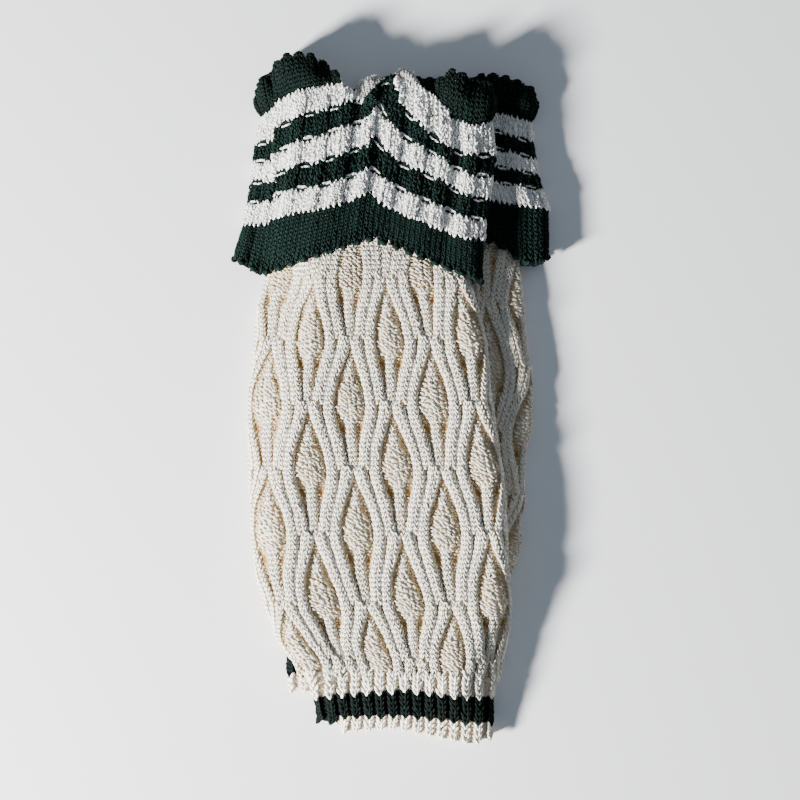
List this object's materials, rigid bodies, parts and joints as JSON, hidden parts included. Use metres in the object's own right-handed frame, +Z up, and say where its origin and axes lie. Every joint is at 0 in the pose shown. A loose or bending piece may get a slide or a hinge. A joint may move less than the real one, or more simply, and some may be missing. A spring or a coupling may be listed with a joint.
{
  "type": "pair of calf warmers",
  "caption": "Pair of knitted calf warmers laid flat, one on the other: cable and leaf leg, ribbed ankle, striped turned-down cuff with picot edges",
  "frame": {"origin": "on the table, at the middle of the pair's bounding box", "axes": "+X across the legs to the picture's right, +Y from the ankles to the cuffs, +Z up from the table"},
  "size_m": [0.2106, 0.461, 0.03],
  "materials": {
    "cream_yarn": "soft matt cream wool, cables and leaves",
    "striped_yarn": "white wool with dark green stripes, broad rib",
    "green_yarn": "dark green wool in stocking stitch, picot edge",
    "ankle_yarn": "cream wool rib with one dark green band"
  },
  "bodies": {
    "root": {"upper_leg": "cream_yarn", "upper_cuff": "striped_yarn", "upper_picot_hem": "green_yarn", "upper_frill": "green_yarn", "upper_ankle_rib": "ankle_yarn", "lower_leg": "cream_yarn", "lower_cuff": "striped_yarn", "lower_picot_hem": "green_yarn", "lower_frill": "green_yarn", "lower_ankle_rib": "ankle_yarn"}
  },
  "joints": []
}
